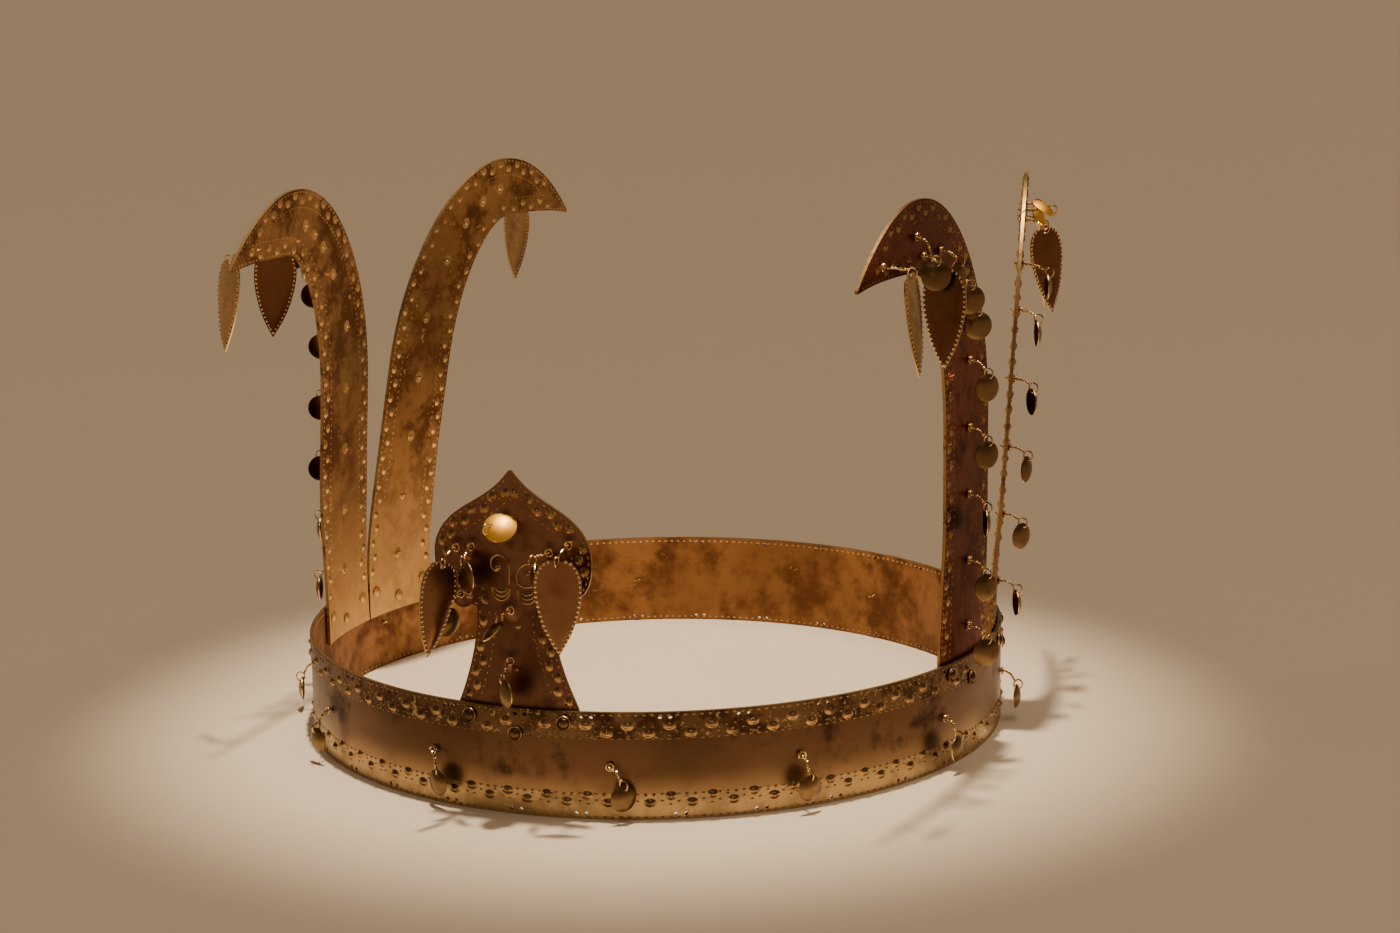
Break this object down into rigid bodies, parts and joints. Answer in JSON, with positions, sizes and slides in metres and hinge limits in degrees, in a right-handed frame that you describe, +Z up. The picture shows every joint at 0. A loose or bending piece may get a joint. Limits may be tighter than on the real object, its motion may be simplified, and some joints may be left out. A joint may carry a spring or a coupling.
{
  "type": "gilt-bronze crown",
  "caption": "Open crown worn on the head: a flat sheet headband carrying a pointed front ornament and tall hooked uprights, all hung with wired spangles and leaf pendants.",
  "frame": {"origin": "centre of the box around the whole crown, on the plane of the headband's underside", "axes": "+Z up, -Y toward the front ornament, +X toward the right-hand pair of uprights seen from the front"},
  "size_m": [0.1954, 0.1932, 0.1401],
  "materials": {
    "band_gilt_bronze": "worn gilding over brown bronze, satin, mottled",
    "upright_gilt_bronze": "worn gilding over brown bronze, punched, satin",
    "rivet_gilt_bronze": "worn gilding, hammered",
    "spangle_gilt_bronze": "worn gilding with brighter rims and bright wires"
  },
  "bodies": {
    "root": {"front_ornament": "upright_gilt_bronze", "headband": "band_gilt_bronze", "pendant_front_1": "spangle_gilt_bronze", "pendant_front_2": "spangle_gilt_bronze", "pendant_left_back_1": "spangle_gilt_bronze", "pendant_left_front_1": "spangle_gilt_bronze", "pendant_left_front_2": "spangle_gilt_bronze", "pendant_right_back_1": "spangle_gilt_bronze", "pendant_right_back_2": "spangle_gilt_bronze", "pendant_right_front_1": "spangle_gilt_bronze", "pendant_right_front_2": "spangle_gilt_bronze", "rivet_front_1": "rivet_gilt_bronze", "rivet_front_2": "rivet_gilt_bronze", "rivet_front_3": "rivet_gilt_bronze", "rivet_left_back_1": "rivet_gilt_bronze", "rivet_left_back_2": "rivet_gilt_bronze", "rivet_left_back_3": "rivet_gilt_bronze", "rivet_left_front_1": "rivet_gilt_bronze", "rivet_left_front_2": "rivet_gilt_bronze", "rivet_left_front_3": "rivet_gilt_bronze", "rivet_right_back_1": "rivet_gilt_bronze", "rivet_right_back_2": "rivet_gilt_bronze", "rivet_right_back_3": "rivet_gilt_bronze", "rivet_right_front_1": "rivet_gilt_bronze", "rivet_right_front_2": "rivet_gilt_bronze", "rivet_right_front_3": "rivet_gilt_bronze", "spangle_band_01": "spangle_gilt_bronze", "spangle_band_02": "spangle_gilt_bronze", "spangle_band_03": "spangle_gilt_bronze", "spangle_band_04": "spangle_gilt_bronze", "spangle_band_05": "spangle_gilt_bronze", "spangle_band_06": "spangle_gilt_bronze", "spangle_band_07": "spangle_gilt_bronze", "spangle_band_08": "spangle_gilt_bronze", "spangle_band_09": "spangle_gilt_bronze", "spangle_band_10": "spangle_gilt_bronze", "spangle_band_11": "spangle_gilt_bronze", "spangle_band_12": "spangle_gilt_bronze", "spangle_front_1": "spangle_gilt_bronze", "spangle_front_2": "spangle_gilt_bronze", "spangle_front_3": "spangle_gilt_bronze", "spangle_front_4": "spangle_gilt_bronze", "spangle_front_5": "spangle_gilt_bronze", "spangle_front_6": "spangle_gilt_bronze", "spangle_left_back_1": "spangle_gilt_bronze", "spangle_left_back_2": "spangle_gilt_bronze", "spangle_left_front_1": "spangle_gilt_bronze", "spangle_left_front_2": "spangle_gilt_bronze", "spangle_right_back_1": "spangle_gilt_bronze", "spangle_right_back_2": "spangle_gilt_bronze", "spangle_right_front_1": "spangle_gilt_bronze", "spangle_right_front_2": "spangle_gilt_bronze", "upright_left_back": "upright_gilt_bronze", "upright_left_front": "upright_gilt_bronze", "upright_right_back": "upright_gilt_bronze", "upright_right_front": "upright_gilt_bronze"}
  },
  "joints": []
}
